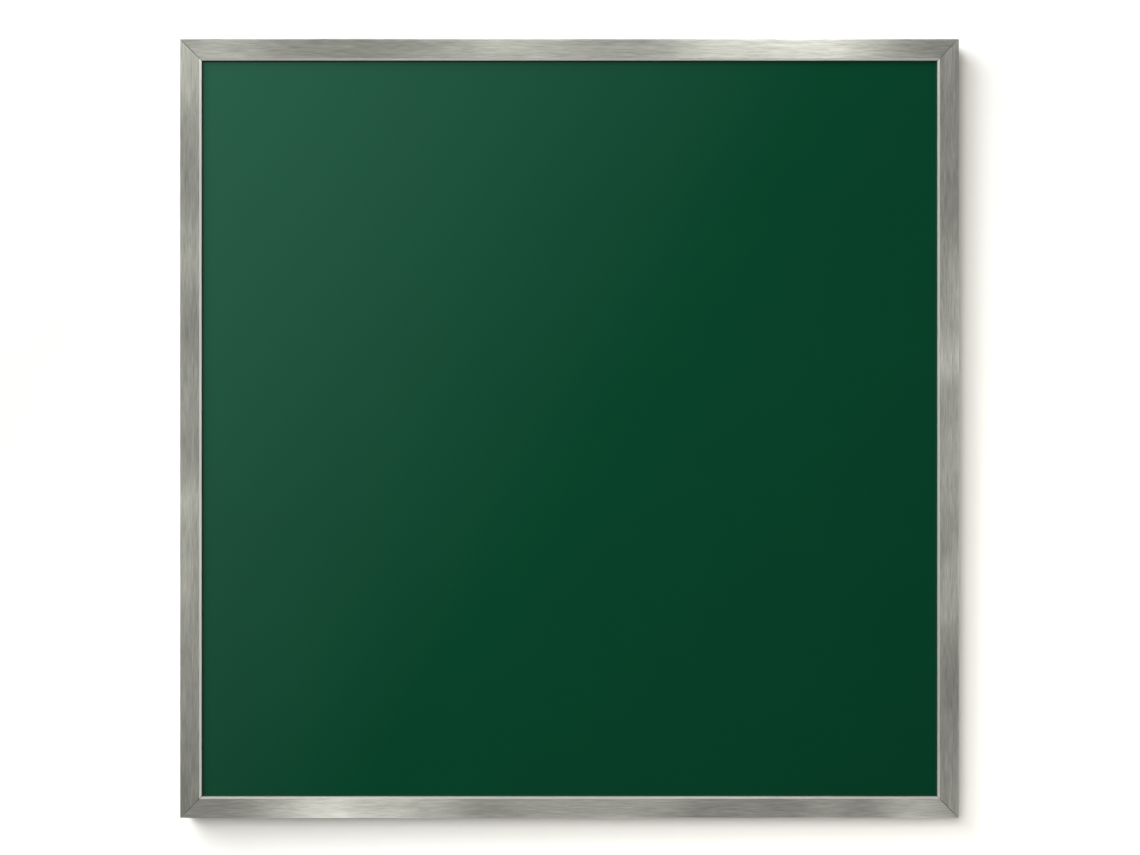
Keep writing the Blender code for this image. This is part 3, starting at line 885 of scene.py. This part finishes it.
def level_seen(tree, seen):
    """What the camera sees of a paint, from its middle level and its rises."""
    middle, rise_x, rise_z = seen
    axes = axes_of(tree, place_of(tree))
    level = weighted_sum(tree, [(axes["X"], rise_x), (axes["Z"], rise_z)], middle)
    return math_node(tree, "MAXIMUM", level, LEAST_SEEN)


def melted(tree, rays, surface, melt_range):
    """A surface that melts in white, for the camera, between two distances from the middle."""
    distance = add_node(tree, "ShaderNodeVectorMath", {0: place_of(tree)}, operation="LENGTH")
    melt = mapped(tree, distance.outputs["Value"], *melt_range, interpolation_type="SMOOTHSTEP")
    share = math_node(tree, "MULTIPLY", melt, rays["Is Camera Ray"])
    white = add_node(tree, "ShaderNodeEmission").outputs[0]
    return mixed_shader(tree, share, surface, white)


def for_camera_alone(tree, rays, surface):
    """A surface that only the camera sees, and only from its front."""
    behind = add_node(tree, "ShaderNodeNewGeometry").outputs["Backfacing"]
    shown = math_node(tree, "MULTIPLY", rays["Is Camera Ray"], math_node(tree, "SUBTRACT", 1.0, behind))
    return mixed_shader(tree, shown, clear_shader(tree), surface)


def paint(name, seen, melt_range, camera_alone):
    """Matt white paint. For the camera it is brighter, and far from the board it melts in white."""
    material, tree, rays = bare_material(name)
    white = mapped(tree, rays["Is Diffuse Ray"], 0, 1, PAINT_WHITE, PAINT_BOUNCE)
    colour = mixed(tree, rays["Is Camera Ray"], white, level_seen(tree, seen))
    matt = add_node(tree, "ShaderNodeBsdfDiffuse", {"Color": colour}).outputs[0]
    surface = melted(tree, rays, matt, melt_range)
    if camera_alone:
        surface = for_camera_alone(tree, rays, surface)
    set_surface(tree, surface)
    return material


def add_stage():
    """The wall and the floor, which nothing mirrors."""
    reach = STAGE_REACH
    wall = WALL_SETBACK
    low = FLOOR_LEVEL
    high = FLOOR_LEVEL + STAGE_HEIGHT
    wall_corners = [(-reach, wall, low), (reach, wall, low), (reach, wall, high), (-reach, wall, high)]
    floor_corners = [(-reach, -reach, low), (reach, -reach, low), (reach, reach, low), (-reach, reach, low)]
    sheets = [
        stage_sheet("wall", wall_corners, paint("wall_paint", WALL_SEEN, WALL_MELT, True)),
        stage_sheet("floor", floor_corners, paint("floor_paint", FLOOR_SEEN, FLOOR_MELT, False)),
    ]
    for sheet in sheets:
        sheet.visible_glossy = False


def add_lamps():
    """Square softboxes that face the board's middle and aren't mirrored."""
    for name, (place, size, power, colour) in LAMPS.items():
        lamp = bpy.data.lights.new(name, "AREA")
        lamp.shape = "SQUARE"
        lamp.size = size
        lamp.energy = power
        lamp.color = colour
        holder = bpy.data.objects.new(name, lamp)
        holder.location = place
        holder.rotation_euler = (-Vector(place)).to_track_quat("-Z", "Y").to_euler()
        holder.visible_camera = False
        holder.visible_glossy = False
        bpy.context.scene.collection.objects.link(holder)


def strip_strength(tree, base, lights):
    """The strength along a strip: its base and a soft-edged box for each light."""
    axes = axes_of(tree, place_of(tree))
    total = base
    for place, half_width, level in lights:
        offset = math_node(tree, "DIVIDE", math_node(tree, "SUBTRACT", axes["Z"], place), half_width)
        squared = math_node(tree, "MULTIPLY", offset, offset)
        spread = math_node(tree, "ADD", math_node(tree, "MULTIPLY", squared, squared), 1.0)
        total = math_node(tree, "ADD", math_node(tree, "DIVIDE", level, spread), total)
    fade = mapped(tree, axes["X"], -STRIP_INNER - STRIP_SOFT, -STRIP_INNER, 1, 0)
    return math_node(tree, "MULTIPLY", total, fade)


def strip_material(name, base, lights):
    """The light of a strip.

    It is clear to the sharp reflections of glass, so only brushed metal shows it.
    """
    material, tree, rays = bare_material(name)
    unscattered = scattered_at_most(tree, rays, 0)
    strength = math_node(tree, "MULTIPLY", strip_strength(tree, base, lights), unscattered)
    glow = add_node(tree, "ShaderNodeEmission", {"Strength": strength}).outputs[0]
    set_surface(tree, mixed_shader(tree, rays["Is Singular Ray"], glow, clear_shader(tree)))
    return material


def light_card(name, corners, material, place):
    """A card that only mirrors can show. It lights nothing matt, blocks nothing and isn't seen."""
    card = stage_sheet(name, corners, material, place)
    card.visible_camera = False
    card.visible_diffuse = False
    card.visible_shadow = False
    card.visible_transmission = False


def add_strips():
    """A strip light outside each side.

    A rail mirrors each light nearer the middle than it lies, so places and widths are spread.
    """
    spread = 1 + STRIP_DISTANCE / camera_distance()
    for side, (place, half_length) in SIDES.items():
        inner = half_length + STRIP_INNER
        outer = half_length + STRIP_OUTER
        corners = [
            (-STRIP_INNER, -STRIP_DISTANCE, -inner),
            (-STRIP_OUTER, -STRIP_DISTANCE, -outer),
            (-STRIP_OUTER, -STRIP_DISTANCE, outer),
            (-STRIP_INNER, -STRIP_DISTANCE, inner),
        ]
        lights = []
        for along, half_width, level in STRIP_LIGHTS[side]:
            lights.append((along * spread, half_width * spread, level))
        name = f"strip_{side}"
        light_card(name, corners, strip_material(name, STRIP_BASES[side], lights), place)


def slanted_glow(tree, slopes, tint):
    """The glow at the upper left, fading to nothing along its slant."""
    slant = weighted_sum(tree, zip(slopes, GLOW_SLANT))
    level = mapped(tree, slant, GLOW_FADE_START, GLOW_FADE_END, GLOW_LEVEL, 0)
    return mixed(tree, level, BLACK, tint)


def front_gloss(tree, axes, tint):
    """What mirrors see in front: the glow near straight ahead, and the studio by height beyond."""
    forward = math_node(tree, "MAXIMUM", math_node(tree, "MULTIPLY", axes["Y"], -1.0), LEAST_FORWARD)
    slopes = [math_node(tree, "DIVIDE", axes[axis], forward) for axis in "XZ"]
    sizes = [math_node(tree, "ABSOLUTE", slope) for slope in slopes]
    edge = mapped(tree, math_node(tree, "MAXIMUM", *sizes), *GLOW_EDGE)
    stops = [((1 + height) / 2, (level, level, level)) for height, level in FRONT_GLOSS]
    studio = ramp_node(tree, mapped(tree, axes["Z"], -1, 1), stops)
    rightward = mapped(tree, axes["X"], *RIGHT_SPAN, 1, RIGHT_GLOSS)
    return mixed(tree, edge, slanted_glow(tree, slopes, tint), multiplied(tree, studio, rightward))


def world_gloss(tree, rays, axes, back):
    """What mirrors show of the studio. The glow has its tint in the glass's sharp reflection alone."""
    tint = mixed(tree, rays["Is Singular Ray"], WHITE, GLOW_TINT)
    back_gloss = mapped(tree, axes["Z"], *BACK_GLOSS_SPAN, GROUND_GLOSS, CEILING_GLOSS)
    return mixed(tree, back, front_gloss(tree, axes, tint), back_gloss)


def world_ambient(tree, rays, back):
    """The light that matt surfaces get: low, but bright from behind where it falls directly."""
    scattered = math_node(tree, "MULTIPLY", rays["Is Diffuse Ray"], scattered_at_most(tree, rays, 1))
    unshaded = math_node(tree, "MAXIMUM", scattered_at_most(tree, rays, 0), scattered)
    return mixed(tree, math_node(tree, "MULTIPLY", back, unshaded), AMBIENT, AMBIENT_BEHIND)


def add_world():
    """Soft light all round. What mirrors show of it depends on the direction alone."""
    world = bpy.data.worlds.new("studio")
    bpy.context.scene.world = world
    world.use_nodes = True
    tree = world.node_tree
    rays = add_node(tree, "ShaderNodeLightPath").outputs
    axes = axes_of(tree, add_node(tree, "ShaderNodeTexCoord").outputs["Generated"])
    back = mapped(tree, axes["Y"], 0, BACK_EDGE)
    mirrored = math_node(tree, "MAXIMUM", rays["Is Glossy Ray"], rays["Is Transmission Ray"])
    direct = math_node(tree, "MULTIPLY", mirrored, scattered_at_most(tree, rays, 0))
    light = mixed(tree, direct, world_ambient(tree, rays, back), world_gloss(tree, rays, axes, back))
    seen = mixed(tree, rays["Is Camera Ray"], light, WHITE)
    tree.links.new(seen, tree.nodes["Background"].inputs["Color"])


def camera_distance():
    return PICTURE_WIDTH_PX * 2 * HALF_WIDTH / BOARD_SIDE_PX * LENS_MM / SENSOR_MM


def add_camera():
    """Straight on, at the distance that gives the board its size in the picture."""
    scale = 2 * HALF_WIDTH / BOARD_SIDE_PX
    camera_data = bpy.data.cameras.new("camera")
    camera_data.lens = LENS_MM
    camera_data.sensor_width = SENSOR_MM
    camera_data.clip_start = camera_distance() * CLIP_SHARE
    camera = bpy.data.objects.new("camera", camera_data)
    right = (PICTURE_WIDTH_PX / 2 - BOARD_CENTRE_X_PX) * scale
    up = (BOARD_CENTRE_Y_PX - PICTURE_HEIGHT_PX / 2) * scale
    camera.location = (right, FRONT - camera_distance(), up)
    camera.rotation_euler = (math.radians(90), 0, 0)
    bpy.context.scene.collection.objects.link(camera)
    bpy.context.scene.camera = camera


add_board()
add_stage()
add_lamps()
add_strips()
add_world()
add_camera()
bpy.context.scene.view_settings.view_transform = "Standard"
